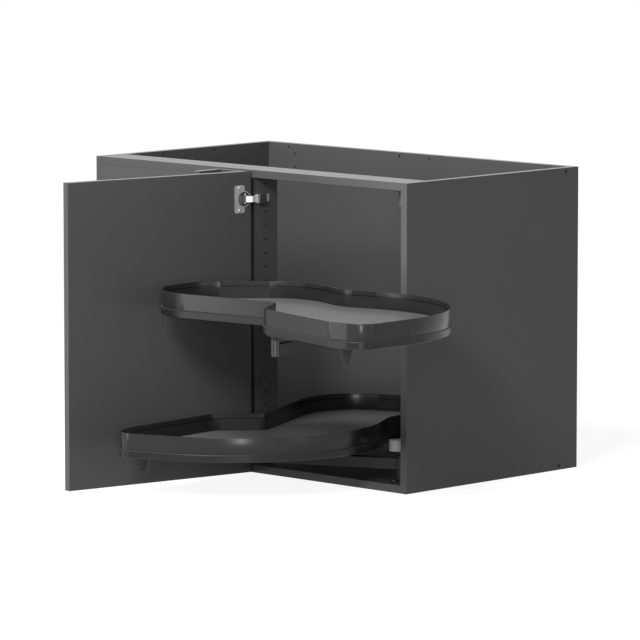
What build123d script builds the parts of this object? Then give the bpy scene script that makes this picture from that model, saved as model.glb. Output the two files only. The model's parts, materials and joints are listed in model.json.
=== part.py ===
# Corner carousel: a blind corner base cabinet with two swing-out kidney trays on a slim column.
# Millimetres. The origin is the middle of the cabinet's underside, the front looks toward -Y and Z is up.
# Everything stands as photographed: door open, upper tray swung fully out, lower tray on its way out.
import os
from math import atan2, cos, degrees, hypot, radians, sin

from build123d import *

os.makedirs("parts", exist_ok=True)

# Cabinet
cabinet_width = 1000
cabinet_depth = 580
cabinet_height = 700
board = 18
rail_depth = 80
opening_width = 459
post_depth = 75
pin_hole_radius = 2.5
pin_hole_depth = 12
pin_hole_pitch = 32
pin_hole_setback = 37
first_pin_hole = 58
pin_hole_margin = 16
fixing_drop = 9
fixing_hole_depth = 8
back_fixing_inset = 66
back_fixing_inner = 48
side_fixing_reach = 87
side_fixing_inset = 43
bracket_hole_inset = 89
bracket_hole_drop = 24
cap_radius = 4
cap_depth = 7
bottom_screw_inset = 63
bottom_screw_radius = 3
bottom_screw_length = 50
filler_width = 78
filler_return_depth = 70
filler_setback = 12

# Door and its concealed hinges
door_bottom = 1
door_top_gap = 3
door_side_gap = 5
door_gap = 2
door_open = 100.3
door_overlay = 28
hinge_inset = 9.7
hinge_depth = 9.8
cup_edge = 20.5
cup_radius = 17.5
cup_wall = 1
cup_lip = 1
cup_depth = 14.5
flange_thickness = 1.6
flange_width = 28
flange_height = 64
flange_corner = 5
flange_shift = 12
cup_screw_inset = 6
cup_screw_radius = 4
cup_screw_height = 1
hinge_pin_radius = 1.8
hinge_pin_reach = 12
knuckle_wall = 1.6
hinge_arm_height = 14
hinge_arm_width = 6
cup_exit = 5
arm_bend_reach = 10
arm_bend_shift = 3
hinge_plate_front = 2
hinge_plate_thickness = 2.5
hinge_plate_length = 44
hinge_plate_height = 18
hinge_plate_corner = 3
hinge_housing_front = 1
hinge_housing_length = 29
hinge_housing_height = 20
hinge_housing_width = 7.5
hinge_screw_radius = 4
hinge_screw_height = 1.2

# Column
column_from_side = 50
column_setback = 49
column_radius = 10
column_wall = 2.5
socket_wall = 10
head_socket_wall = 6
head_socket_height = 36
socket_edge = 1.5
foot_lip = 12
foot_plate = 4
column_screw_radius = 3.5
column_screw_height = 1.5
column_screw_count = 3
collar_wall = 8
collar_height = 6
running_gap = 0.3
shaft_clearance = 0.05

# Swing arms
arm_overreach = 16.3
arm_bearing = 276.5
bush_wall = 3
hub_wall = 9
arm_height = 24
arm_root_width = 30
arm_wall = 3
arm_cells = 6
tongue_length = 26
tip_wrap = 5
tip_wall = 3.5
ring_height = 9
pin_radius = 6
pin_head_lip = 2.5
pin_head_height = 3
pivot_space = 20
block_reach = 22
block_end_radius = 14
block_height = 25
block_drop = 3.3
block_bearing = 224

# Trays
upper_rim_top = 453.5
lower_rim_top = 147.3
lower_turn = -71.06
tray_board = 16
seat_height = 2
rail_height = 37
rail_thickness = 2.5
rail_inset = 2
seat_inset = 1
seat_width = 3
board_edge = 1
plate_length = 120
plate_width = 72
plate_thickness = 3
plate_corner = 8
plate_bearing = -14.6
plate_shift_along = 34
plate_shift_across = 24
sleeve_wall = 3
plate_screw_radius = 4
plate_screw_inset = 10
plate_screw_height = 1.8
knob_x = 248
knob_y = -35
knob_base_radius = 19
knob_tip_radius = 7
knob_height = 42.7
knob_edge = 2
tray_overreach = 17.7
tray_side_overreach = 49

# Places that several pieces share
half_width = cabinet_width / 2
front_y = -cabinet_depth / 2
back_y = cabinet_depth / 2
inner_half = half_width - board
post_right = inner_half - opening_width
post_left = post_right - board
rail_bottom = cabinet_height - board
pin_hole_count = int((rail_bottom - first_pin_hole - pin_hole_margin) // pin_hole_pitch) + 1
door_height = cabinet_height - door_bottom - door_top_gap
door_width = opening_width + door_overlay + board - door_side_gap
column_x = half_width - column_from_side
column_y = front_y + column_setback
arm_length = opening_width + arm_overreach
bush_radius = column_radius + bush_wall
hub_radius = bush_radius + hub_wall
collar_radius = column_radius + collar_wall
tip_radius = pin_radius + tip_wall
axis_x = post_right - door_overlay + hinge_inset
axis_y = front_y - door_gap - hinge_depth
back_fixing_reach = inner_half - back_fixing_inset
bracket_hole_x = bracket_hole_inset - inner_half
side_fixing_back = back_y - side_fixing_inset
bottom_screw_y = back_y - bottom_screw_inset
tray_far = arm_length + tray_overreach
tray_side = -opening_width - tray_side_overreach
along = (cos(radians(-door_open)), sin(radians(-door_open)))
across = (-along[1], along[0])

# Corners of the tray seen from above, measured from its pivot, each with its rounding radius
tray_corners = (
    (329, tray_far, 335),
    (-168, tray_far - 107, 100),
    (-273, tray_far - 68, 150),
    (-363, tray_far - 68, 120),
    (tray_side, 282, 95),
    (tray_side, 54, 135),
    (-100, 101, 18),
    (-38, -4, 48),
    (227, -73, 60),
    (329, -73, 48),
)


def door_plane(x, y, z):
    """A level plane lying along the open door, x and y from the hinge axis."""
    place = (axis_x + x * along[0] + y * across[0], axis_y + x * along[1] + y * across[1], z)
    return Plane(origin=place, x_dir=(*along, 0), z_dir=(0, 0, 1))


def column_plane(z, bearing=0.0):
    """A level plane on the column axis, turned to a bearing."""
    turned = radians(bearing)
    return Plane(origin=(column_x, column_y, z), x_dir=(cos(turned), sin(turned), 0), z_dir=(0, 0, 1))


def tray_plane(z):
    """A level plane on the tray's pivot, turned with the tray."""
    return Plane(origin=(pivot_x, pivot_y, z), x_dir=(*turned, 0), z_dir=(0, 0, 1))


def arm_half(reach):
    """Half the arm's width at a distance from the column."""
    return arm_root_width / 2 + (tip_radius - arm_root_width / 2) * reach / arm_length


def arm_stretch(start, end, wall=0.0):
    """The tapered arm between two distances from the column, drawn in by a wall."""
    near = arm_half(start) - wall
    far = arm_half(end) - wall
    Polygon((start, near), (start, -near), (end, -far), (end, far), align=None)


def tray_outline(inset):
    """The kidney outline with its own rounding at each corner, drawn in by an inset."""
    with BuildSketch() as outline:
        with BuildLine():
            Polyline(*[(x, y) for x, y, _ in tray_corners], close=True)
        make_face()
        for x, y, radius in tray_corners:
            corner = outline.vertices().sort_by_distance((x, y))[0]
            fillet(corner, radius=radius)
        if inset:
            offset(amount=-inset, kind=Kind.INTERSECTION)
    return outline.sketch


def bar(start, end, width):
    """A round-ended bar between two points, added to the sketch being drawn."""
    dx = end[0] - start[0]
    dy = end[1] - start[1]
    middle = ((start[0] + end[0]) / 2, (start[1] + end[1]) / 2)
    with Locations(Location((*middle, 0), (0, 0, degrees(atan2(dy, dx))))):
        SlotCenterToCenter(hypot(dx, dy), width)


# Cabinet boards
side_x = half_width - board / 2
for side, sign in (("left", -1), ("right", 1)):
    inward = Plane(origin=(sign * inner_half, 0, 0), x_dir=(0, 1, 0), z_dir=(-sign, 0, 0))
    outward = Plane(origin=(sign * half_width, 0, 0), x_dir=(0, 1, 0), z_dir=(sign, 0, 0))
    fixing_z = cabinet_height - fixing_drop
    with BuildPart() as side_panel:
        with BuildSketch():
            with Locations((sign * side_x, 0)):
                Rectangle(board, cabinet_depth)
        extrude(amount=cabinet_height)
        with BuildSketch(inward):
            with Locations(*[(y, -sign * fixing_z) for y in (-side_fixing_reach, side_fixing_reach)]):
                Circle(pin_hole_radius)
            with Locations((side_fixing_back, -sign * fixing_z)):
                Circle(pin_hole_radius)
        extrude(amount=-fixing_hole_depth, mode=Mode.SUBTRACT)
        with BuildSketch(outward):
            with Locations((side_fixing_back, sign * fixing_z), (bottom_screw_y, sign * board / 2)):
                Circle(cap_radius)
        extrude(amount=-cap_depth, mode=Mode.SUBTRACT)
        with BuildSketch(outward):
            with Locations((bottom_screw_y, sign * board / 2)):
                Circle(bottom_screw_radius)
        extrude(amount=-board, mode=Mode.SUBTRACT)
    side_panel.part.label = f"side_{side}"
    export_step(side_panel.part, f"parts/side_{side}.step")

    with BuildPart() as caps:
        with BuildSketch(outward):
            with Locations((side_fixing_back, sign * fixing_z), (bottom_screw_y, sign * board / 2)):
                Circle(cap_radius)
        extrude(amount=-cap_depth)
        with BuildSketch(outward.offset(-cap_depth)):
            with Locations((bottom_screw_y, sign * board / 2)):
                Circle(bottom_screw_radius)
        extrude(amount=-bottom_screw_length + cap_depth)
    caps.part.label = f"connectors_{side}"
    export_step(caps.part, f"parts/connectors_{side}.step")

with BuildPart() as bottom_panel:
    with BuildSketch():
        with Locations((0, -board / 2)):
            Rectangle(2 * inner_half, cabinet_depth - board)
    extrude(amount=board)
    for sign in (-1, 1):
        screw_end = (sign * inner_half, bottom_screw_y, board / 2)
        with BuildSketch(Plane(origin=screw_end, x_dir=(0, 1, 0), z_dir=(sign, 0, 0))):
            Circle(bottom_screw_radius)
        extrude(amount=board - bottom_screw_length, mode=Mode.SUBTRACT)
bottom_panel.part.label = "bottom_panel"
export_step(bottom_panel.part, "parts/bottom_panel.step")

back_face = Plane(origin=(0, back_y - board, 0), x_dir=(1, 0, 0), z_dir=(0, -1, 0))
with BuildPart() as back_panel:
    with BuildSketch():
        with Locations((0, back_y - board / 2)):
            Rectangle(2 * inner_half, board)
    extrude(amount=cabinet_height)
    with BuildSketch(back_face):
        for x in (-back_fixing_reach, -back_fixing_inner, back_fixing_inner, back_fixing_reach):
            with Locations((x, cabinet_height - fixing_drop)):
                Circle(pin_hole_radius)
        for drop in (bracket_hole_drop, bracket_hole_drop + pin_hole_pitch):
            with Locations((bracket_hole_x, cabinet_height - drop)):
                Circle(pin_hole_radius)
    extrude(amount=-fixing_hole_depth, mode=Mode.SUBTRACT)
back_panel.part.label = "back_panel"
export_step(back_panel.part, "parts/back_panel.step")

with BuildPart() as top_rail:
    with BuildSketch(Plane.XY.offset(rail_bottom)):
        with Locations((0, front_y + rail_depth / 2)):
            Rectangle(2 * inner_half, rail_depth)
    extrude(amount=board)
top_rail.part.label = "top_rail"
export_step(top_rail.part, "parts/top_rail.step")

with BuildPart() as blind_panel:
    with BuildSketch(Plane.XY.offset(board)):
        with Locations(((post_left - inner_half) / 2, front_y + board / 2)):
            Rectangle(post_left + inner_half, board)
    extrude(amount=rail_bottom - board)
blind_panel.part.label = "blind_panel"
export_step(blind_panel.part, "parts/blind_panel.step")

post_face = Plane(origin=(post_right, 0, 0), x_dir=(0, 1, 0), z_dir=(1, 0, 0))
with BuildPart() as hinge_post:
    with BuildSketch(Plane.XY.offset(board)):
        with Locations((post_right - board / 2, front_y + post_depth / 2)):
            Rectangle(board, post_depth)
    extrude(amount=rail_bottom - board)
    with BuildSketch(post_face):
        for row in range(pin_hole_count):
            with Locations((front_y + pin_hole_setback, first_pin_hole + row * pin_hole_pitch)):
                Circle(pin_hole_radius)
    extrude(amount=-pin_hole_depth, mode=Mode.SUBTRACT)
hinge_post.part.label = "hinge_post"
export_step(hinge_post.part, "parts/hinge_post.step")

filler_right = post_left - filler_setback
filler_left = filler_right - filler_width
with BuildPart() as filler_front:
    with BuildSketch(Plane.XY.offset(door_bottom)):
        with Locations(((filler_left + filler_right) / 2, front_y - board / 2)):
            Rectangle(filler_width, board)
    extrude(amount=door_height)
filler_front.part.label = "filler_front"
export_step(filler_front.part, "parts/filler_front.step")

with BuildPart() as filler_return:
    with BuildSketch(Plane.XY.offset(door_bottom)):
        with Locations((filler_left + board / 2, front_y - board - filler_return_depth / 2)):
            Rectangle(board, filler_return_depth)
    extrude(amount=door_height)
filler_return.part.label = "filler_return"
export_step(filler_return.part, "parts/filler_return.step")

# Door with its two cup pockets
top_hinge_z = first_pin_hole + (pin_hole_count - 2) * pin_hole_pitch
hinges = (("top", top_hinge_z), ("bottom", first_pin_hole))
cup_x = cup_edge - hinge_inset


def cup_plane(z, depth=0.0):
    """The door's inner face at a hinge cup, sunk by a depth."""
    place = door_plane(cup_x, hinge_depth - depth, z).origin
    return Plane(origin=place, x_dir=(*along, 0), z_dir=(*across, 0))


with BuildPart() as door_panel:
    with BuildSketch(door_plane(0, 0, door_bottom)):
        with Locations((door_width / 2 - hinge_inset, hinge_depth - board / 2)):
            Rectangle(door_width, board)
    extrude(amount=door_height)
    for _, hinge_z in hinges:
        with BuildSketch(cup_plane(hinge_z)):
            Circle(cup_radius)
        extrude(amount=-cup_depth, mode=Mode.SUBTRACT)
door_panel.part.label = "door_panel"
export_step(door_panel.part, "parts/door_panel.step")

# Concealed hinges: cup and pin on the door, arm and plate on the post
for place, hinge_z in hinges:
    with BuildPart() as cup:
        with BuildSketch(cup_plane(hinge_z)):
            Circle(cup_radius + cup_lip)
            with Locations((flange_shift, 0)):
                RectangleRounded(flange_width, flange_height, flange_corner)
        extrude(amount=flange_thickness)
        with BuildSketch(cup_plane(hinge_z)):
            Circle(cup_radius)
        extrude(amount=-cup_depth)
        with BuildSketch(cup_plane(hinge_z, -flange_thickness)):
            Circle(cup_radius - cup_wall)
        extrude(amount=-flange_thickness - cup_depth + cup_wall, mode=Mode.SUBTRACT)
        with BuildSketch(door_plane(0, 0, hinge_z - hinge_pin_reach)):
            Circle(hinge_pin_radius)
        extrude(amount=2 * hinge_pin_reach, mode=Mode.SUBTRACT)
    cup.part.label = f"hinge_cup_{place}"
    export_step(cup.part, f"parts/hinge_cup_{place}.step")

    with BuildPart() as hinge_pin:
        with BuildSketch(door_plane(0, 0, hinge_z - hinge_pin_reach)):
            Circle(hinge_pin_radius)
        extrude(amount=2 * hinge_pin_reach)
    hinge_pin.part.label = f"hinge_pin_{place}"
    export_step(hinge_pin.part, f"parts/hinge_pin_{place}.step")

    with BuildPart() as cup_screws:
        with BuildSketch(cup_plane(hinge_z, -flange_thickness)):
            with Locations((flange_shift, 0)):
                with GridLocations(0, flange_height - 2 * cup_screw_inset, 1, 2):
                    Circle(cup_screw_radius)
        extrude(amount=cup_screw_height)
    cup_screws.part.label = f"hinge_cup_screws_{place}"
    export_step(cup_screws.part, f"parts/hinge_cup_screws_{place}.step")

    # The plate is screwed into the hole row; its screw shows behind the housing
    hole_place = (post_right, front_y + pin_hole_setback, hinge_z)
    post_hole = Plane(origin=hole_place, x_dir=(0, 1, 0), z_dir=(1, 0, 0))
    plate_shift = hinge_plate_front + hinge_plate_length / 2 - pin_hole_setback
    with BuildPart() as hinge_plate:
        with BuildSketch(post_hole):
            with Locations((plate_shift, 0)):
                RectangleRounded(hinge_plate_length, hinge_plate_height, hinge_plate_corner)
            Circle(pin_hole_radius, mode=Mode.SUBTRACT)
        extrude(amount=hinge_plate_thickness)
    hinge_plate.part.label = f"hinge_plate_{place}"
    export_step(hinge_plate.part, f"parts/hinge_plate_{place}.step")

    with BuildPart() as hinge_plate_screws:
        with BuildSketch(post_hole.offset(hinge_plate_thickness)):
            Circle(hinge_screw_radius)
        extrude(amount=hinge_screw_height)
        with BuildSketch(post_hole.offset(hinge_plate_thickness)):
            Circle(pin_hole_radius)
        extrude(amount=-hinge_plate_thickness - pin_hole_depth)
    hinge_plate_screws.part.label = f"hinge_plate_screws_{place}"
    export_step(hinge_plate_screws.part, f"parts/hinge_plate_screws_{place}.step")

    out_of_cup = door_plane(cup_exit, hinge_depth + cup_exit, 0).origin
    tail_x = post_right + hinge_plate_thickness + hinge_arm_width / 2
    housing_y = front_y + hinge_housing_front
    route = (
        (axis_x, axis_y),
        (out_of_cup.X, out_of_cup.Y),
        (tail_x - arm_bend_shift, front_y - arm_bend_reach),
        (tail_x, housing_y),
        (tail_x, housing_y + hinge_housing_length / 2),
    )
    housing_shift = hinge_housing_front + hinge_housing_length / 2 - pin_hole_setback
    with BuildPart() as hinge_arm:
        with BuildSketch(Plane.XY.offset(hinge_z - hinge_arm_height / 2)):
            for start, end in zip(route, route[1:]):
                bar(start, end, hinge_arm_width)
            with Locations(route[0]):
                Circle(hinge_pin_radius + knuckle_wall)
        extrude(amount=hinge_arm_height)
        with BuildSketch(post_hole.offset(hinge_plate_thickness)):
            with Locations((housing_shift, 0)):
                Rectangle(hinge_housing_length, hinge_housing_height)
        extrude(amount=hinge_housing_width)
        with BuildSketch(Plane.XY.offset(hinge_z - hinge_arm_height / 2)):
            with Locations(route[0]):
                Circle(hinge_pin_radius + shaft_clearance)
        extrude(amount=hinge_arm_height, mode=Mode.SUBTRACT)
    hinge_arm.part.label = f"hinge_arm_{place}"
    export_step(hinge_arm.part, f"parts/hinge_arm_{place}.step")

# Column between the floor of the cabinet and the front rail
with BuildPart() as column_tube:
    with BuildSketch(column_plane(board)):
        Circle(column_radius)
        Circle(column_radius - column_wall, mode=Mode.SUBTRACT)
    extrude(amount=rail_bottom - board)
column_tube.part.label = "column_tube"
export_step(column_tube.part, "parts/column_tube.step")

lower_arm_bottom = lower_rim_top - rail_height - seat_height - tray_board - pivot_space - arm_height
sockets = (
    ("foot", 1, board, socket_wall, lower_arm_bottom - running_gap - board),
    ("head", -1, rail_bottom, head_socket_wall, head_socket_height + foot_plate),
)
for end, up, seat_z, wall, height in sockets:
    with BuildPart() as column_end:
        with BuildSketch(column_plane(seat_z)):
            Circle(column_radius + wall + foot_lip)
        extrude(amount=up * foot_plate)
        with BuildSketch(column_plane(seat_z)):
            Circle(column_radius + wall)
        extrude(amount=up * height)
        rim = column_end.edges().group_by(Axis.Z)[-1 if up > 0 else 0]
        chamfer(rim, length=socket_edge)
        with BuildSketch(column_plane(seat_z)):
            Circle(column_radius)
        extrude(amount=up * height, mode=Mode.SUBTRACT)
    column_end.part.label = f"column_{end}"
    export_step(column_end.part, f"parts/column_{end}.step")

with BuildPart() as column_screws:
    for _, up, seat_z, wall, _ in sockets:
        with BuildSketch(column_plane(seat_z + up * foot_plate)):
            with PolarLocations(column_radius + wall + foot_lip / 2, column_screw_count):
                Circle(column_screw_radius)
        extrude(amount=up * column_screw_height)
column_screws.part.label = "column_screws"
export_step(column_screws.part, "parts/column_screws.step")

# Each level: collars and stop block on the column, swing arm, tray
for level, rim_top, turn in (("upper", upper_rim_top, 0.0), ("lower", lower_rim_top, lower_turn)):
    tray_bottom = rim_top - rail_height - seat_height - tray_board
    arm_top = tray_bottom - pivot_space
    arm_bottom = arm_top - arm_height
    bearing = turn + arm_bearing
    pivot_x = column_x + arm_length * cos(radians(bearing))
    pivot_y = column_y + arm_length * sin(radians(bearing))
    turned = (cos(radians(turn)), sin(radians(turn)))

    with BuildPart() as collars:
        with BuildSketch(column_plane(arm_top + running_gap)):
            Circle(collar_radius)
            Circle(column_radius, mode=Mode.SUBTRACT)
        extrude(amount=collar_height)
        if level == "upper":
            with BuildSketch(column_plane(arm_bottom - running_gap)):
                Circle(collar_radius)
                Circle(column_radius, mode=Mode.SUBTRACT)
            extrude(amount=-2 * collar_height)
    collars.part.label = f"{level}_collars"
    export_step(collars.part, f"parts/{level}_collars.step")

    with BuildPart() as stop_block:
        with BuildSketch(column_plane(tray_bottom - block_drop, block_bearing)):
            Circle(hub_radius)
            bar((0, 0), (block_reach, 0), 2 * block_end_radius)
            Circle(column_radius, mode=Mode.SUBTRACT)
        extrude(amount=block_height)
    stop_block.part.label = f"{level}_stop_block"
    export_step(stop_block.part, f"parts/{level}_stop_block.step")

    with BuildPart() as arm_beam:
        with BuildSketch(column_plane(arm_bottom, bearing)):
            Circle(hub_radius)
            arm_stretch(0, arm_length - tip_wrap)
            with Locations((arm_length, 0)):
                Circle(tip_radius, mode=Mode.SUBTRACT)
            Circle(bush_radius, mode=Mode.SUBTRACT)
        extrude(amount=arm_height)
        cells_start = hub_radius + arm_wall
        cell_pitch = (arm_length - tongue_length - cells_start) / arm_cells
        with BuildSketch(column_plane(arm_bottom, bearing)):
            for cell in range(arm_cells):
                cell_start = cells_start + cell * cell_pitch
                arm_stretch(cell_start, cell_start + cell_pitch - arm_wall, arm_wall)
            arm_stretch(arm_length - tongue_length, arm_length - tip_wrap, arm_wall)
        extrude(amount=arm_height - arm_wall, mode=Mode.SUBTRACT)
    arm_beam.part.label = f"{level}_arm_beam"
    export_step(arm_beam.part, f"parts/{level}_arm_beam.step")

    with BuildPart() as hub_bush:
        with BuildSketch(column_plane(arm_bottom, bearing)):
            Circle(bush_radius)
            Circle(column_radius + shaft_clearance, mode=Mode.SUBTRACT)
        extrude(amount=arm_height)
    hub_bush.part.label = f"{level}_hub_bush"
    export_step(hub_bush.part, f"parts/{level}_hub_bush.step")

    with BuildPart() as arm_tip:
        with BuildSketch(column_plane(arm_bottom, bearing)):
            with Locations((arm_length, 0)):
                Circle(tip_radius)
        extrude(amount=arm_height + ring_height)
        with BuildSketch(column_plane(arm_bottom, bearing)):
            arm_stretch(arm_length - tongue_length, arm_length, arm_wall)
        extrude(amount=arm_height - arm_wall)
        with BuildSketch(column_plane(arm_bottom, bearing)):
            with Locations((arm_length, 0)):
                Circle(pin_radius + shaft_clearance)
        extrude(amount=arm_height + ring_height, mode=Mode.SUBTRACT)
    arm_tip.part.label = f"{level}_arm_tip"
    export_step(arm_tip.part, f"parts/{level}_arm_tip.step")

    # Tray pivot: headed pin through the arm tip, sleeve, plate screwed under the tray
    pivot_plane = Plane(origin=(pivot_x, pivot_y, arm_bottom), z_dir=(0, 0, 1))
    with BuildPart() as tray_pin:
        with BuildSketch(pivot_plane.offset(-running_gap)):
            Circle(pin_radius + pin_head_lip)
        extrude(amount=-pin_head_height)
        with BuildSketch(pivot_plane.offset(-running_gap)):
            Circle(pin_radius)
        extrude(amount=running_gap + arm_height + pivot_space)
    tray_pin.part.label = f"{level}_tray_pin"
    export_step(tray_pin.part, f"parts/{level}_tray_pin.step")

    tilt = radians(turn + plate_bearing)
    plate_place = (pivot_x, pivot_y, tray_bottom)
    plate_plane = Plane(origin=plate_place, x_dir=(cos(tilt), sin(tilt), 0), z_dir=(0, 0, -1))
    with BuildPart() as pivot_plate:
        with BuildSketch(plate_plane):
            with Locations((plate_shift_along, -plate_shift_across)):
                RectangleRounded(plate_length, plate_width, plate_corner)
        extrude(amount=plate_thickness)
        with BuildSketch(plate_plane):
            Circle(pin_radius + sleeve_wall)
        extrude(amount=pivot_space - ring_height - running_gap)
        with BuildSketch(plate_plane):
            Circle(pin_radius)
        extrude(amount=pivot_space, mode=Mode.SUBTRACT)
    pivot_plate.part.label = f"{level}_pivot_plate"
    export_step(pivot_plate.part, f"parts/{level}_pivot_plate.step")

    screw_spread = plate_length - 2 * plate_screw_inset
    with BuildPart() as plate_screws:
        with BuildSketch(plate_plane.offset(plate_thickness)):
            with Locations((plate_shift_along, -plate_shift_across)):
                with GridLocations(screw_spread, plate_width - 2 * plate_screw_inset, 2, 2):
                    Circle(plate_screw_radius)
        extrude(amount=plate_screw_height)
    plate_screws.part.label = f"{level}_plate_screws"
    export_step(plate_screws.part, f"parts/{level}_plate_screws.step")

    # Tray: board, recessed seat strip and the tall rim rail that stands on it
    with BuildPart() as tray_base:
        with BuildSketch(tray_plane(tray_bottom)):
            add(tray_outline(0))
        extrude(amount=tray_board)
        levels = tray_base.edges().group_by(Axis.Z)
        chamfer(levels[0] + levels[-1], length=board_edge)
    tray_base.part.label = f"{level}_tray_board"
    export_step(tray_base.part, f"parts/{level}_tray_board.step")

    with BuildPart() as rail_seat:
        with BuildSketch(tray_plane(tray_bottom + tray_board)):
            add(tray_outline(rail_inset + seat_inset))
            add(tray_outline(rail_inset + seat_inset + seat_width), mode=Mode.SUBTRACT)
        extrude(amount=seat_height)
    rail_seat.part.label = f"{level}_rail_seat"
    export_step(rail_seat.part, f"parts/{level}_rail_seat.step")

    with BuildPart() as rim_rail:
        with BuildSketch(tray_plane(rim_top - rail_height)):
            add(tray_outline(rail_inset))
            add(tray_outline(rail_inset + rail_thickness), mode=Mode.SUBTRACT)
        extrude(amount=rail_height)
    rim_rail.part.label = f"{level}_rim_rail"
    export_step(rim_rail.part, f"parts/{level}_rim_rail.step")

    with BuildPart() as knob:
        with BuildSketch(tray_plane(tray_bottom)):
            with Locations((knob_x, knob_y)):
                Circle(knob_base_radius)
        with BuildSketch(tray_plane(tray_bottom - knob_height)):
            with Locations((knob_x, knob_y)):
                Circle(knob_tip_radius)
        loft()
        chamfer(knob.edges().group_by(Axis.Z)[0], length=knob_edge)
    knob.part.label = f"{level}_knob"
    export_step(knob.part, f"parts/{level}_knob.step")
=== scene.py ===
# Corner carousel: a dark melamine base cabinet, its open door and two railed swing-out trays.
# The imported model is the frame. This script gives it finishes, worked edges, real screws, light and camera.
# Sizes in the dictionaries are in mm, and the lamps, the floor and the camera are in metres.
import json
import math

import bmesh
import bpy
from mathutils import Matrix, Vector


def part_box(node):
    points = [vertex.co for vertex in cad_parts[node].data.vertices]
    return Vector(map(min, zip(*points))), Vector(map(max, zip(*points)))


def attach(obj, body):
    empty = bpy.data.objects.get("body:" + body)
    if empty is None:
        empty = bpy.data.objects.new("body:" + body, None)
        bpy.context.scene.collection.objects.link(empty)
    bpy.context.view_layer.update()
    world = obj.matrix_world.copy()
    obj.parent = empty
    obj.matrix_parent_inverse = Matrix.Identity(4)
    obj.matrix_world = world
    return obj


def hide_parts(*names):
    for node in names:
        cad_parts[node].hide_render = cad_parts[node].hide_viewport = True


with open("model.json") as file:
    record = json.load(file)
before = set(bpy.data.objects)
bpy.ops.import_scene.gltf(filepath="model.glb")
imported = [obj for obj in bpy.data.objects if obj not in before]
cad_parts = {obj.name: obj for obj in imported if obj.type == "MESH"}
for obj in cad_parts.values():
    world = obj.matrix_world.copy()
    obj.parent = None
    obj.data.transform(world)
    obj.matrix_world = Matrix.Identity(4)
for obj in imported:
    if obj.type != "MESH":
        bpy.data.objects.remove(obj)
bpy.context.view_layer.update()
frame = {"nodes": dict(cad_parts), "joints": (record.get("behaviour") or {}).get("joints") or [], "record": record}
nodes = frame["nodes"]
print("frame loaded:", len(nodes), "nodes")


# A node's lowest and highest corner, in mm
def cornersOf(node):
    low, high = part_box(node)
    return low * 1000, high * 1000


def middleOf(node):
    low, high = cornersOf(node)
    return (low + high) / 2


# Where each joint's axis stands, seen from above, in mm
axisSpots = {joint["name"]: tuple(size * 1000 for size in joint["pos_m"][:2]) for joint in frame["joints"]}

# The ways that boards and screws face. The door stands open, so its inner side has a way of its own.
sideways, inward, upward, downward = (1, 0, 0), (0, 1, 0), (0, 0, 1), (0, 0, -1)
awayFromDoor = (0.9839, -0.1788, 0)


# sRGB hex to the linear values that shader sockets take
def linearColour(hexText):
    channels = [int(hexText[i:i + 2], 16) / 255 for i in (0, 2, 4)]
    return [c / 12.92 if c <= 0.04045 else ((c + 0.055) / 1.055) ** 2.4 for c in channels] + [1.0]


# One shader node: its settings, its fixed inputs and what feeds it
def addNode(tree, kind, settings=None, inputs=None, links=None):
    node = tree.nodes.new(kind)
    for key, value in (settings or {}).items():
        setattr(node, key, value)
    for key, value in (inputs or {}).items():
        node.inputs[key].default_value = value
    for key, source in (links or {}).items():
        tree.links.new(source, node.inputs[key])
    return node


def startMaterial(name):
    material = bpy.data.materials.new(name)
    material.use_nodes = True
    material.node_tree.nodes.clear()
    return material, material.node_tree


# Most values of a noise pattern lie between low and high, and it stands reliefMm proud at full strength
patternLook = {"low": 0.3, "high": 0.7, "reliefMm": 0.1}


# Starts a board, a coat or a moulded finish: two shades drift over the piece, and a fine noise is its grain
def startFinish(name, look):
    material, tree = startMaterial(name)
    place = addNode(tree, "ShaderNodeTexCoord").outputs
    drift = addNode(tree, "ShaderNodeTexNoise", None,
                    {"Scale": 1000 / look["driftMm"], "Detail": look["driftDetail"]},
                    {"Vector": place["Object"]})
    tint = addNode(tree, "ShaderNodeMix", {"data_type": "RGBA"},
                   {6: linearColour(look["colour"]), 7: linearColour(look["shade"])}, {0: drift.outputs["Fac"]})
    grain = addNode(tree, "ShaderNodeTexNoise", None, {"Scale": 1000 / look["grainMm"], "Detail": 1.0},
                    {"Vector": place["Object"]})
    return {"material": material, "tree": tree, "place": place, "colour": tint.outputs[2],
            "pattern": grain.outputs["Fac"]}


# Ends any finish: its roughness and relief follow the pattern. A band has a roughness of its own.
def endFinish(finish, look, band=None):
    tree, pattern = finish["tree"], finish["pattern"]
    smooth, dull = look["rough"]
    rough = addNode(tree, "ShaderNodeMapRange", None,
                    {"From Min": patternLook["low"], "From Max": patternLook["high"], "To Min": smooth,
                     "To Max": dull}, {"Value": pattern}).outputs["Result"]
    if band is not None:
        rough = addNode(tree, "ShaderNodeMix", None, {3: look["bandRough"]}, {0: band, 2: rough}).outputs[0]
    relief = addNode(tree, "ShaderNodeBump", None,
                     {"Strength": look["relief"], "Distance": patternLook["reliefMm"] / 1000},
                     {"Height": pattern})
    if "metal" in look:
        gloss = {"Metallic": 1.0}
    else:
        gloss = {"IOR": look["ior"], "Specular IOR Level": look["specular"]}
    shader = addNode(tree, "ShaderNodeBsdfPrincipled", None, gloss,
                     {"Base Color": finish["colour"], "Roughness": rough, "Normal": relief.outputs["Normal"]})
    addNode(tree, "ShaderNodeOutputMaterial", None, None, {"Surface": shader.outputs["BSDF"]})
    return finish["material"]


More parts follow.
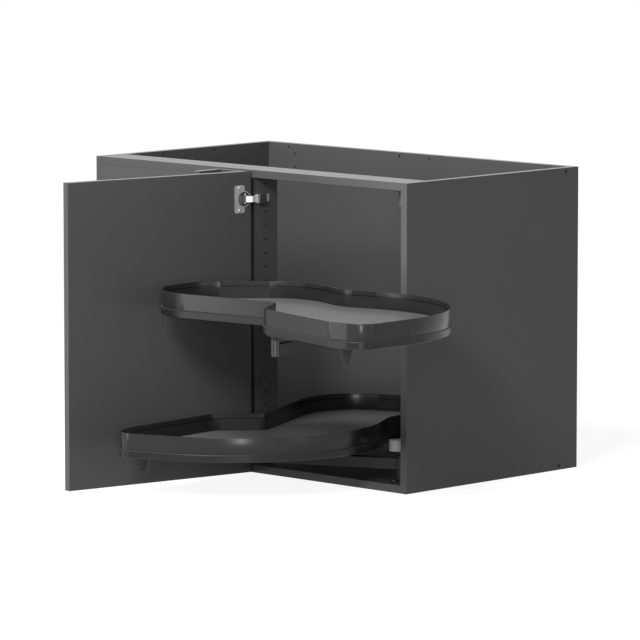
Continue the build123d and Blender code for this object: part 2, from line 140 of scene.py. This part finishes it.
# Melamine-faced chipboard, decor paper pressed under resin: an even matt grey with a fine pearl grain.
# The ABS band glued round its edges is smoother, so the edges catch a little more light. It starts where the
# surface has turned from the board's two faces: bandFrom and bandFull are cosines of that turn.
# Where the board is drilled, its holes are painted near black as painted shade. facingMm is how deep that starts.
boardLook = {"colour": "474747", "shade": "4b4b4b", "driftMm": 260, "driftDetail": 3.0, "grainMm": 1.4,
             "rough": (0.42, 0.5), "relief": 0.05, "ior": 1.5, "specular": 0.3, "band": "4b4b4b",
             "bandRough": 0.28, "bandFrom": 0.9, "bandFull": 0.8, "holeShade": "101010", "facingMm": 0.6}
# the boards that face sideways, and the door, are a darker copy of the same paper: painted shade for the weaker
# light on those faces
sideShadeLook = {**boardLook, "colour": "3f3f3f", "shade": "434343"}
# the boards that lie flat shine a little more
lyingLook = {**boardLook, "rough": (0.26, 0.32)}
# the hinge post's band is painted near black and dull, as painted shade for the seam beside the door
postSeamShadeLook = {**boardLook, "colour": "444444", "shade": "484848", "band": "161616", "bandRough": 0.5,
            "specular": 0.22}
# the tray boards have the same paper under a satin resin, painted lighter as painted light on their tops, and a
# dark lacquered band
trayLitLook = {**boardLook, "colour": "5a5a5a", "shade": "5e5e5e", "rough": (0.3, 0.36), "specular": 0.22,
            "band": "1c1c1c", "bandRough": 0.3}


# A board whose two faces look along flatWay. bored names its node, if holes are drilled in it.
def makeBoard(name, look, flatWay, bored=None):
    finish = startFinish(name, look)
    tree, place = finish["tree"], finish["place"]
    facing = addNode(tree, "ShaderNodeVectorMath", {"operation": "DOT_PRODUCT"}, {1: flatWay},
                     {0: place["Normal"]})
    flatness = addNode(tree, "ShaderNodeMath", {"operation": "ABSOLUTE"}, None, {0: facing.outputs["Value"]})
    band = addNode(tree, "ShaderNodeMapRange", None,
                   {"From Min": look["bandFrom"], "From Max": look["bandFull"]},
                   {"Value": flatness.outputs[0]}).outputs["Result"]
    edged = addNode(tree, "ShaderNodeMix", {"data_type": "RGBA"}, {7: linearColour(look["band"])},
                    {0: band, 6: finish["colour"]})
    finish["colour"] = edged.outputs[2]
    if bored:
        # painted shade in the holes: it covers all that lies inside the board's own box, less its facing on every
        # side
        low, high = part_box(bored)
        reach = (high - low) / 2 - Vector([look["facingMm"] / 1000] * 3)
        offset = addNode(tree, "ShaderNodeVectorMath", {"operation": "SUBTRACT"}, {1: (low + high) / 2},
                         {0: place["Object"]})
        away = addNode(tree, "ShaderNodeVectorMath", {"operation": "ABSOLUTE"}, None,
                       {0: offset.outputs["Vector"]})
        past = addNode(tree, "ShaderNodeVectorMath", {"operation": "SUBTRACT"}, {1: reach},
                       {0: away.outputs["Vector"]})
        axes = addNode(tree, "ShaderNodeSeparateXYZ", None, None, {0: past.outputs["Vector"]}).outputs
        level = addNode(tree, "ShaderNodeMath", {"operation": "MAXIMUM"}, None, {0: axes[0], 1: axes[1]})
        furthest = addNode(tree, "ShaderNodeMath", {"operation": "MAXIMUM"}, None,
                           {0: level.outputs[0], 1: axes[2]})
        inside = addNode(tree, "ShaderNodeMath", {"operation": "LESS_THAN"}, {1: 0.0}, {0: furthest.outputs[0]})
        drilled = addNode(tree, "ShaderNodeMix", {"data_type": "RGBA"}, {7: linearColour(look["holeShade"])},
                          {0: inside.outputs[0], 6: finish["colour"]})
        finish["colour"] = drilled.outputs[2]
    return endFinish(finish, look, band)


uprightSideways = makeBoard("melamineChipboardSide", sideShadeLook, sideways)
uprightAcross = makeBoard("melamineChipboardAcross", boardLook, inward)
lyingFlat = makeBoard("melamineChipboardLying", lyingLook, upward)
doorBoard = makeBoard("melamineChipboardDoor", sideShadeLook, awayFromDoor)
trayBoard = makeBoard("melamineTrayBoard", trayLitLook, upward)
boredBoards = {"side_left": (sideShadeLook, sideways), "side_right": (sideShadeLook, sideways),
               "back_panel": (boardLook, inward), "hinge_post": (postSeamShadeLook, sideways)}
boredFinishes = {node: makeBoard("melamineBored_" + node, look, flatWay, node)
                 for node, (look, flatWay) in boredBoards.items()}
print("board finishes made")

# How each tray stands: how far it is turned, and from the frame its pivot, its plate's underside, where the
# plate's screw heads start, and its rail's top
trays = {"upper": {"turn": 0}, "lower": {"turn": -71.06}}
for level, tray in trays.items():
    tray["pivot"] = axisSpots[level + "_tray_turn"]
    tray["plateUnderside"] = cornersOf(level + "_plate_screws")[1].z
    tray["railTop"] = cornersOf(level + "_rim_rail")[1].z


# The spot that lies x and y away from a centre, both turned by some degrees
def spotFrom(centre, x, y, degrees):
    angle = math.radians(degrees)
    return (centre[0] + x * math.cos(angle) - y * math.sin(angle),
            centre[1] + x * math.sin(angle) + y * math.cos(angle))


# Powder-coated steel, sprayed and baked: an even skin with slight orange peel, glossy on the rails and satin
# on the arms and the column. The peel is the grain.
railLook = {"colour": "222222", "shade": "262626", "driftMm": 83.3333, "driftDetail": 2.0, "grainMm": 3.5,
            "rough": (0.22, 0.27), "relief": 0.02, "ior": 1.5, "specular": 0.24}
armLook = {**railLook, "grainMm": 2.2, "rough": (0.36, 0.44), "relief": 0.06, "specular": 0.2}
# A fine groove is rolled into the inner side of each rail, and its shade is painted as a dark line this far below
# its top. The inner side is the one that faces middle, a spot measured from the pivot.
grooveShadeLook = {"colour": "080808", "below": 10.0, "width": 1.9, "middle": (-80, 230)}


# A painted groove shade comes with its own height and its tray's middle, in metres
def makeCoat(name, look, grooveShade=None):
    finish = startFinish(name, look)
    tree, place = finish["tree"], finish["place"]
    if grooveShade:
        outward = addNode(tree, "ShaderNodeVectorMath", {"operation": "SUBTRACT"}, {1: grooveShade["middle"]},
                          {0: place["Object"]})
        facing = addNode(tree, "ShaderNodeVectorMath", {"operation": "DOT_PRODUCT"}, None,
                         {0: place["Normal"], 1: outward.outputs["Vector"]})
        inner = addNode(tree, "ShaderNodeMath", {"operation": "LESS_THAN"}, {1: 0.0},
                        {0: facing.outputs["Value"]})
        axes = addNode(tree, "ShaderNodeSeparateXYZ", None, None, {0: place["Object"]})
        line = addNode(tree, "ShaderNodeMath", {"operation": "COMPARE"},
                       {1: grooveShade["height"], 2: grooveShade["width"] / 2 / 1000}, {0: axes.outputs[2]})
        cut = addNode(tree, "ShaderNodeMath", {"operation": "MULTIPLY"}, None,
                      {0: inner.outputs[0], 1: line.outputs[0]})
        # painted shade: a near-black line where the groove runs on the rail's inner side
        grooveShaded = addNode(tree, "ShaderNodeMix", {"data_type": "RGBA"}, {7: linearColour(grooveShade["colour"])},
                        {0: cut.outputs[0], 6: finish["colour"]})
        finish["colour"] = grooveShaded.outputs[2]
    return endFinish(finish, look)


railCoats = {}
for level, tray in trays.items():
    middle = spotFrom(tray["pivot"], *grooveShadeLook["middle"], tray["turn"])
    height = tray["railTop"] - grooveShadeLook["below"] - grooveShadeLook["width"] / 2
    grooveShade = {**grooveShadeLook, "middle": (middle[0] / 1000, middle[1] / 1000, 0), "height": height / 1000}
    railCoats[level] = makeCoat("glossPowderCoat_" + level, railLook, grooveShade)
armCoat = makeCoat("satinPowderCoat", armLook)

# Nickel-plated stamped steel: a neutral silver with a soft sheen and the faint lines of the strip it was cut
# from, lineMm wide and drawn out along Z. The screws are zinc-plated, a little darker and duller, and the tray
# pins and arm tips are zinc painted much darker, a painted shade for the tray's shadow over them.
nickelLook = {"metal": True, "colour": "d6d6d6", "shade": "c4c4c4", "lineMm": 0.8, "drawn": 0.08,
              "rough": (0.44, 0.54), "relief": 0.04}
zincLook = {**nickelLook, "colour": "a8a8a8", "shade": "8f8f8f", "lineMm": 0.9, "rough": (0.3, 0.42),
            "relief": 0.05}
# painted shade: the darker zinc of the pins and arm tips stands for the shadow under the trays
shadedZincLook = {**zincLook, "colour": "4a4a4a", "shade": "3c3c3c", "rough": (0.26, 0.34), "relief": 0.04}
# The cups are the same nickel, with painted shade darkening the hollow where the arm folds in. The mouth of the
# hollow is mouthMm along the door's own way.
cupLook = {**nickelLook, "hollowShade": "767676", "mouthMm": 69.2, "mouthEdgeMm": 0.3}


def makePlated(name, look):
    material, tree = startMaterial(name)
    place = addNode(tree, "ShaderNodeTexCoord").outputs
    drawn = addNode(tree, "ShaderNodeMapping", None, {"Scale": (1, 1, look["drawn"])},
                    {"Vector": place["Object"]})
    lines = addNode(tree, "ShaderNodeTexNoise", None, {"Scale": 1000 / look["lineMm"], "Detail": 2.0},
                    {"Vector": drawn.outputs["Vector"]})
    tint = addNode(tree, "ShaderNodeMix", {"data_type": "RGBA"},
                   {6: linearColour(look["shade"]), 7: linearColour(look["colour"])}, {0: lines.outputs["Fac"]})
    # painted shade: past the cup's mouth, the hollow is darkened
    if "hollowShade" in look:
        mouth, inside = look["mouthMm"] / 1000, (look["mouthMm"] - look["mouthEdgeMm"]) / 1000
        away = addNode(tree, "ShaderNodeVectorMath", {"operation": "DOT_PRODUCT"}, {1: awayFromDoor},
                       {0: place["Object"]})
        deep = addNode(tree, "ShaderNodeMapRange", None, {"From Min": mouth, "From Max": inside},
                       {"Value": away.outputs["Value"]})
        tint = addNode(tree, "ShaderNodeMix", {"data_type": "RGBA"}, {7: linearColour(look["hollowShade"])},
                       {0: deep.outputs["Result"], 6: tint.outputs[2]})
    return endFinish({"material": material, "tree": tree, "colour": tint.outputs[2],
                      "pattern": lines.outputs["Fac"]}, look)


nickelPlate = makePlated("nickelPlatedSteel", nickelLook)
cupPlate = makePlated("nickelPlatedCup", cupLook)
zincPlate = makePlated("zincPlatedSteel", zincLook)
shadedZinc = makePlated("shadedDarkZinc", shadedZincLook)

# Injection-moulded nylon with a spark-eroded grain, so it has a low, even shine: black for the collars, the
# rail seats and the knobs, and light grey for the stop blocks
blackLook = {"colour": "1c1c1c", "shade": "222222", "driftMm": 40, "driftDetail": 2.0, "grainMm": 0.9,
             "rough": (0.42, 0.55), "relief": 0.12, "ior": 1.53, "specular": 0.25}
greyLook = {**blackLook, "colour": "a8a8a8", "shade": "b0b0b0", "rough": (0.4, 0.5), "relief": 0.1,
            "specular": 0.4}
# dark slate for the caps over the hinge arms, and a lighter slate for the column's head
darkSlateLook = {**blackLook, "colour": "303030", "shade": "363636", "specular": 0.3}
slateLook = {**darkSlateLook, "colour": "5a5a5a", "shade": "606060"}
# duller and deeper black for the bolt caps in the sides, so each reads as a small dark dot
boltCapLook = {**blackLook, "colour": "0a0a0a", "shade": "0e0e0e", "specular": 0.1}


def makeNylon(name, look):
    return endFinish(startFinish(name, look), look)


blackNylon = makeNylon("mouldedBlackNylon", blackLook)
greyNylon = makeNylon("mouldedGreyNylon", greyLook)
armCoverNylon = makeNylon("mouldedDarkSlateNylon", darkSlateLook)
slateNylon = makeNylon("mouldedSlateNylon", slateLook)
capNylon = makeNylon("dullBlackNylon", boltCapLook)
print("metal and plastic finishes made")

# A node has a finish of its own, or else its material slot's
ownFinishes = {
    **boredFinishes,
    "filler_return": uprightSideways, "bottom_panel": lyingFlat, "top_rail": lyingFlat, "door_panel": doorBoard,
    "upper_rim_rail": railCoats["upper"], "lower_rim_rail": railCoats["lower"], "column_head": slateNylon,
    "hinge_cup_top": cupPlate, "hinge_cup_bottom": cupPlate, "upper_arm_tip": shadedZinc,
    "lower_arm_tip": shadedZinc, "upper_tray_pin": shadedZinc, "lower_tray_pin": shadedZinc,
}
slotFinishes = {
    "melamine": uprightAcross, "tray_melamine": trayBoard, "arm_steel": armCoat, "column_steel": armCoat,
    "bright_steel": zincPlate, "nickel": nickelPlate, "dark_plastic": blackNylon, "light_plastic": greyNylon,
}
for part in frame["record"]["subparts"]:
    piece = nodes[part["node"]]
    piece.data.materials.clear()
    piece.data.materials.append(ownFinishes.get(part["node"]) or slotFinishes[part["material_slot"]])
print("finishes on all nodes")

# A face looks straight one way when its normal is this near to it, and edges turned less than this are smooth
straightOn = 0.999
smoothAngle = math.radians(35)


def pickFaces(piece, wanted):
    shape = bmesh.from_edit_mesh(piece.data)
    for face in shape.faces:
        face.select_set(wanted(face))
    shape.select_flush(True)
    bmesh.update_edit_mesh(piece.data)


# Pan-head screw with a cross recess, pressed and zinc plated: a domed head whose cross shows dark. These are
# shares of its radius or height: the straight rim, each step in and up to the crown, and the cross.
screwLook = {"sides": 28, "rim": 0.5, "crown": ((0.22, 0.28), (0.3, 0.16)), "slot": 0.26, "reach": 0.42,
             "depth": 0.62}


# sizes are the head's radius and height, and the radius and length of the shank behind it, or 0
def modelScrew(name, sizes):
    radius, height, shankRadius, shankLength = [size / 1000 for size in sizes]
    rim = height * screwLook["rim"]
    bpy.ops.object.select_all(action="DESELECT")
    bpy.ops.mesh.primitive_cylinder_add(vertices=screwLook["sides"], radius=radius, depth=rim,
                                        location=(0, 0, rim / 2))
    screw = bpy.context.object
    screw.name = name
    bpy.ops.object.transform_apply(location=True, rotation=True, scale=True)
    bpy.ops.object.mode_set(mode="EDIT")
    pickFaces(screw, lambda face: face.normal.z > straightOn)
    for inset, rise in screwLook["crown"]:
        bpy.ops.mesh.inset(thickness=radius * inset, depth=0)
        bpy.ops.transform.translate(value=(0, 0, height * rise))
    if shankLength:
        pickFaces(screw, lambda face: face.normal.z < -straightOn)
        bpy.ops.mesh.inset(thickness=radius - shankRadius, depth=0)
        bpy.ops.mesh.extrude_region_move(TRANSFORM_OT_translate={"value": (0, 0, -shankLength)})
    bpy.ops.object.mode_set(mode="OBJECT")
    # the cutter's middle is level with the head's top, so only its lower half cuts
    bpy.ops.object.select_all(action="DESELECT")
    bpy.ops.mesh.primitive_cube_add(size=1, location=(0, 0, height))
    cross = bpy.context.object
    cross.scale = (radius * screwLook["slot"], radius * screwLook["slot"], height * screwLook["depth"] * 2)
    bpy.ops.object.transform_apply(location=True, rotation=True, scale=True)
    bpy.ops.object.mode_set(mode="EDIT")
    pickFaces(cross, lambda face: abs(face.normal.z) < straightOn)
    bpy.ops.mesh.inset(thickness=0, depth=radius * screwLook["reach"], use_individual=True)
    bpy.ops.object.mode_set(mode="OBJECT")
    bpy.ops.object.select_all(action="DESELECT")
    screw.select_set(True)
    bpy.context.view_layer.objects.active = screw
    recess = screw.modifiers.new("recess", "BOOLEAN")
    recess.operation = "DIFFERENCE"
    recess.object = cross
    bpy.ops.object.modifier_apply(modifier="recess")
    bpy.data.objects.remove(cross)
    bpy.ops.object.shade_smooth_by_angle(angle=smoothAngle)
    return screw


# Sets copies of a piece on the model, each with its own mesh, and joins them into one piece. A copy with no
# outward direction is only moved.
def setCopies(name, places, body, finish, standsFor=None):
    bpy.ops.object.select_all(action="DESELECT")
    for master, point, outward, turn in places:
        copy = bpy.data.objects.new(name, master.data.copy())
        bpy.context.collection.objects.link(copy)
        lie = Vector(outward).to_track_quat("Z", "Y").to_matrix().to_4x4() if outward else Matrix.Identity(4)
        spot = Matrix.Translation([size / 1000 for size in point])
        copy.data.transform(spot @ lie @ Matrix.Rotation(math.radians(turn), 4, "Z"))
        copy.select_set(True)
        bpy.context.view_layer.objects.active = copy
    if len(places) > 1:
        bpy.ops.object.join()
    piece = bpy.context.view_layer.objects.active
    piece.name = name
    piece.data.materials.clear()
    piece.data.materials.append(finish)
    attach(piece, body)
    if standsFor:
        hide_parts(standsFor)


# Screws under the trays: four hold each pivot plate, spread about a centre that is measured from the pivot and
# turned with the tray. Each corner of the plate has its screw's turn.
plateScrews = {"head": (4, 1.8, 0, 0), "centre": (34, -24), "spread": (100, 52), "skew": -14.6,
               "turns": {(1, 1): 85, (1, -1): 55, (-1, 1): -15, (-1, -1): -45}}
panHead = modelScrew("panHead", plateScrews["head"])
for level, tray in trays.items():
    places = []
    for (along, aside), turn in plateScrews["turns"].items():
        x = plateScrews["centre"][0] + along * plateScrews["spread"][0] / 2
        # the plate is drawn from below, so its second axis points the other way
        y = -plateScrews["centre"][1] - aside * plateScrews["spread"][1] / 2
        spot = spotFrom(tray["pivot"], x, y, tray["turn"] + plateScrews["skew"])
        places.append((panHead, spot + (tray["plateUnderside"],), downward, turn))
    setCopies(level + "PlateScrews", places, level + "_tray", zincPlate,
              level + "_plate_screws")
print("tray plate screws set")

# Hinge screws: one holds each mounting plate, and two hold each cup's flange, this far above and below the
# hinge's middle and each with its turn
hingeLevels = {level: middleOf("hinge_plate_" + level).z for level in ("top", "bottom")}
hingeScrews = {"plateHead": (4, 1.2, 2.5, 14.5), "plate": (25.5, -253), "plateTurn": 12,
               "flangeHead": (4, 1, 0, 0), "flange": (11.84, -326.27), "flangeTurns": {26: 55, -26: 5}}
plateHead = modelScrew("plateHead", hingeScrews["plateHead"])
flangeHead = modelScrew("flangeHead", hingeScrews["flangeHead"])

# A moulded cap clips over each hinge arm's end, with rounded edges and a panel sunk in its inner face
armCapLook = {"low": (26.2, -282.5, -10.7), "high": (34.0, -259.2, 10.7), "edge": 1.2, "edgeSegments": 3,
              "panelInset": 2.2, "panelSunk": 0.4}
capEnds = list(zip(armCapLook["low"], armCapLook["high"]))
bpy.ops.object.select_all(action="DESELECT")
bpy.ops.mesh.primitive_cube_add(size=1, location=[(low + high) / 2 / 1000 for low, high in capEnds])
armCap = bpy.context.object
armCap.scale = [(high - low) / 1000 for low, high in capEnds]
bpy.ops.object.transform_apply(location=True, rotation=True, scale=True)
bpy.ops.object.mode_set(mode="EDIT")
bpy.ops.mesh.select_all(action="SELECT")
bpy.ops.mesh.bevel(offset=armCapLook["edge"] / 1000, segments=armCapLook["edgeSegments"], affect="EDGES")
pickFaces(armCap, lambda face: face.normal.x > straightOn)
bpy.ops.mesh.inset(thickness=armCapLook["panelInset"] / 1000, depth=-armCapLook["panelSunk"] / 1000)
bpy.ops.object.mode_set(mode="OBJECT")
bpy.ops.object.shade_smooth_by_angle(angle=smoothAngle)
for level, height in hingeLevels.items():
    flangePlaces = [(flangeHead, hingeScrews["flange"] + (height + offset,), awayFromDoor, turn)
                    for offset, turn in hingeScrews["flangeTurns"].items()]
    platePlace = (plateHead, hingeScrews["plate"] + (height,), sideways, hingeScrews["plateTurn"])
    setCopies("hingeCupScrews_" + level, flangePlaces, "door", nickelPlate,
              "hinge_cup_screws_" + level)
    setCopies("hingePlateScrew_" + level, [platePlace], "cabinet", nickelPlate,
              "hinge_plate_screws_" + level)
    setCopies("hingeCoverCap_" + level, [(armCap, (0, 0, height), None, 0)], "cabinet", armCoverNylon)
print("hinge screws set")

# Column: three screws up through the head plate and three down through the foot, each end with its screws'
# distance from the axis, their height and the way they face. One set screw is in each stop block.
footTop, headUnderside = [corner.z for corner in cornersOf("column_screws")]
columnLook = {"axis": axisSpots["upper_arm_swing"], "head": (3.5, 1.5, 0, 0), "bearings": (0, 120, 240),
              "turn": 17, "ends": ((26, footTop, upward), (22, headUnderside, downward))}
stopLook = {"head": (2.8, 0.9, 0, 0), "bearing": -45, "reach": 21.7, "turn": 5}
footHead = modelScrew("footHead", columnLook["head"])
setHead = modelScrew("setHead", stopLook["head"])
columnPlaces = []
for reach, height, outward in columnLook["ends"]:
    for bearing in columnLook["bearings"]:
        spot = spotFrom(columnLook["axis"], reach, 0, bearing)
        columnPlaces.append((footHead, spot + (height,), outward, columnLook["turn"] + bearing))
setCopies("columnScrewHeads", columnPlaces, "cabinet", zincPlate, "column_screws")
stopSpot = spotFrom(columnLook["axis"], stopLook["reach"], 0, stopLook["bearing"])
stopOutward = spotFrom((0, 0), 1, 0, stopLook["bearing"]) + (0,)
for level in trays:
    height = middleOf(level + "_stop_block").z
    setCopies(level + "StopSetScrew", [(setHead, stopSpot + (height,), stopOutward, stopLook["turn"])],
              "cabinet", zincPlate)
print("column screws set")

# Cam and bolt heads in the sides: black caps flush with the outer face, a short one high and a long bolt low,
# each with its place on the side and its turn
capLook = {"outerFace": cornersOf("side_right")[1].x, "radius": 3.9, "thickness": 0.8,
           "shanks": ((3.7, 6.2), (3, 49)), "places": ((247, 691), (227, 9)), "turns": (20, 65)}
caps = [modelScrew("boltCap", (capLook["radius"], capLook["thickness"]) + shank) for shank in capLook["shanks"]]
for side, sign in (("left", -1), ("right", 1)):
    seat = sign * (capLook["outerFace"] - capLook["thickness"])
    capPlaces = [(cap, (seat,) + place, (sign, 0, 0), turn)
                 for cap, place, turn in zip(caps, capLook["places"], capLook["turns"])]
    setCopies("boltCaps_" + side, capPlaces, "cabinet", capNylon, "connectors_" + side)
for master in (panHead, plateHead, flangeHead, armCap, footHead, setHead, *caps):
    bpy.data.objects.remove(master)
print("bolt caps set")

# Worked edges: a sawn and banded board and a rolled rail never end in a knife edge, and the rounding catches
# light. The loose triangles of a node are welded before their edges are rounded.
edgeLook = {"weldMm": 0.01, "segments": 2, "sharpAbove": 50}
edgeWidths = {
    "side_left": 0.7, "side_right": 0.7, "bottom_panel": 0.6, "back_panel": 0.6, "top_rail": 0.7,
    "blind_panel": 0.7, "filler_front": 0.7, "filler_return": 0.7, "door_panel": 0.9, "upper_rim_rail": 0.5,
    "lower_rim_rail": 0.5,
}
for name, width in edgeWidths.items():
    weld = nodes[name].modifiers.new("weld", "WELD")
    weld.merge_threshold = edgeLook["weldMm"] / 1000
    bevel = nodes[name].modifiers.new("edge", "BEVEL")
    bevel.width = width / 1000
    bevel.segments = edgeLook["segments"]
    bevel.limit_method = "ANGLE"
    bevel.angle_limit = math.radians(edgeLook["sharpAbove"])
print("edges worked")

# Plain studio: pale floor and soft lamps. The floor is a little below the cabinet, so their faces don't meet.
studio = {"skyStrength": 0.16, "floor": "787878", "floorShade": "898989", "floorGlow": 0.9, "floorSize": 7.0,
          "floorHeight": -0.0002}
white = linearColour("ffffff")
# azimuth is counted from the cabinet's front towards its right side, seen from the spot that the lamp aims at
lamps = {
    "frontSoftbox": {"aim": (0.15, -0.35, 0.4), "azimuth": -2, "elevation": 56, "distance": 4.2, "watts": 188,
                     "size": (1.5, 1.5)},
    "frontSideLamp": {"aim": (0.15, -0.35, 0.4), "azimuth": 29, "elevation": 30, "distance": 5.0, "watts": 168,
                      "size": (1.0, 1.0)},
    "cameraSideLamp": {"aim": (0.3, -0.3, 0.35), "azimuth": 45, "elevation": 5, "distance": 6.0, "watts": 62,
                       "size": (0.3, 1.6)},
    "leftStrip": {"aim": (0.12, -0.65, 0.5), "azimuth": -33, "elevation": 4, "distance": 2.0, "watts": 8,
                  "size": (0.3, 1.25)},
    "nearStrip": {"aim": (0.75, -0.75, 0.5), "azimuth": 38.7, "elevation": 4, "distance": 3.0, "watts": 5,
                  "size": (0.3, 1.4)},
    "rightStrip": {"aim": (0.78, -0.72, 0.5), "azimuth": 99, "elevation": 4, "distance": 2.5, "watts": 2.5,
                   "size": (0.3, 1.3)},
}


def addLamp(name, look):
    azimuth, elevation = math.radians(look["azimuth"]), math.radians(look["elevation"])
    away = Vector((math.cos(elevation) * math.sin(azimuth), -math.cos(elevation) * math.cos(azimuth),
                   math.sin(elevation)))
    bpy.ops.object.light_add(type="AREA", location=Vector(look["aim"]) + away * look["distance"],
                             rotation=away.to_track_quat("Z", "Y").to_euler())
    lamp = bpy.context.object
    lamp.name = name
    lamp.data.shape = "RECTANGLE"
    lamp.data.size, lamp.data.size_y = look["size"]
    lamp.data.energy = look["watts"]


for name, look in lamps.items():
    addLamp(name, look)


# Is 1 where the camera looks, directly or by way of metal or glass, and 0 for light that falls on the object
def addSeen(tree):
    rays = addNode(tree, "ShaderNodeLightPath").outputs
    straight = addNode(tree, "ShaderNodeMath", {"operation": "MAXIMUM"}, None,
                       {0: rays["Is Camera Ray"], 1: rays["Is Transmission Ray"]})
    return addNode(tree, "ShaderNodeMath", {"operation": "MAXIMUM"}, None,
                   {0: straight.outputs[0], 1: rays["Is Glossy Ray"]}).outputs[0]


# The sky is looked at as white, and lights the object softly
world = bpy.data.worlds.new("studio")
bpy.context.scene.world = world
world.use_nodes = True
sky = world.node_tree
sky.nodes.clear()
skySeen = addSeen(sky)
softSky = addNode(sky, "ShaderNodeBackground", None, {"Color": white, "Strength": studio["skyStrength"]})
whiteSky = addNode(sky, "ShaderNodeBackground", None, {"Color": white, "Strength": 1.0})
skyMix = addNode(sky, "ShaderNodeMixShader", None, None,
                 {0: skySeen, 1: softSky.outputs[0], 2: whiteSky.outputs[0]})
addNode(sky, "ShaderNodeOutputWorld", None, None, {"Surface": skyMix.outputs[0]})

# Floor: pale painted board, which the camera and the metal see as near white with the cabinet's faint shadow.
# From below it lets the view through, so that the undersides can be looked at.
bpy.ops.object.select_all(action="DESELECT")
bpy.ops.mesh.primitive_plane_add(size=studio["floorSize"], location=(0, 0, studio["floorHeight"]))
floor = bpy.context.object
floor.name = "floor"
paint, paintTree = startMaterial("paleFloorPaint")
paintSeen = addSeen(paintTree)
pale = addNode(paintTree, "ShaderNodeBsdfDiffuse", None, {"Color": linearColour(studio["floor"])})
shade = addNode(paintTree, "ShaderNodeBsdfDiffuse", None, {"Color": linearColour(studio["floorShade"])})
glow = addNode(paintTree, "ShaderNodeEmission", None, {"Color": white, "Strength": studio["floorGlow"]})
nearWhite = addNode(paintTree, "ShaderNodeAddShader", None, None, {0: shade.outputs[0], 1: glow.outputs[0]})
fromAbove = addNode(paintTree, "ShaderNodeMixShader", None, None,
                    {0: paintSeen, 1: pale.outputs[0], 2: nearWhite.outputs[0]})
side = addNode(paintTree, "ShaderNodeNewGeometry")
clear = addNode(paintTree, "ShaderNodeBsdfTransparent")
oneSided = addNode(paintTree, "ShaderNodeMixShader", None, None,
                   {0: side.outputs["Backfacing"], 1: fromAbove.outputs[0], 2: clear.outputs[0]})
addNode(paintTree, "ShaderNodeOutputMaterial", None, None, {"Surface": oneSided.outputs[0]})
floor.data.materials.append(paint)
print("studio ready")

# The photograph's viewing angle. The lens is for a sensor this wide, both in mm.
cameraPlace = {"location": (8.38433, -8.76045, 1.79335), "yaw": 43.9052, "pitch": 6.8958, "lens": 293.62,
               "sensor": 36, "clipEnd": 60}
bpy.ops.object.camera_add(location=cameraPlace["location"])
camera = bpy.context.object
camera.rotation_euler = (math.radians(90 - cameraPlace["pitch"]), 0, math.radians(cameraPlace["yaw"]))
camera.data.lens = cameraPlace["lens"]
camera.data.sensor_width = cameraPlace["sensor"]
camera.data.clip_end = cameraPlace["clipEnd"]
bpy.context.scene.camera = camera
bpy.context.scene.view_settings.view_transform = "Standard"

print("done")
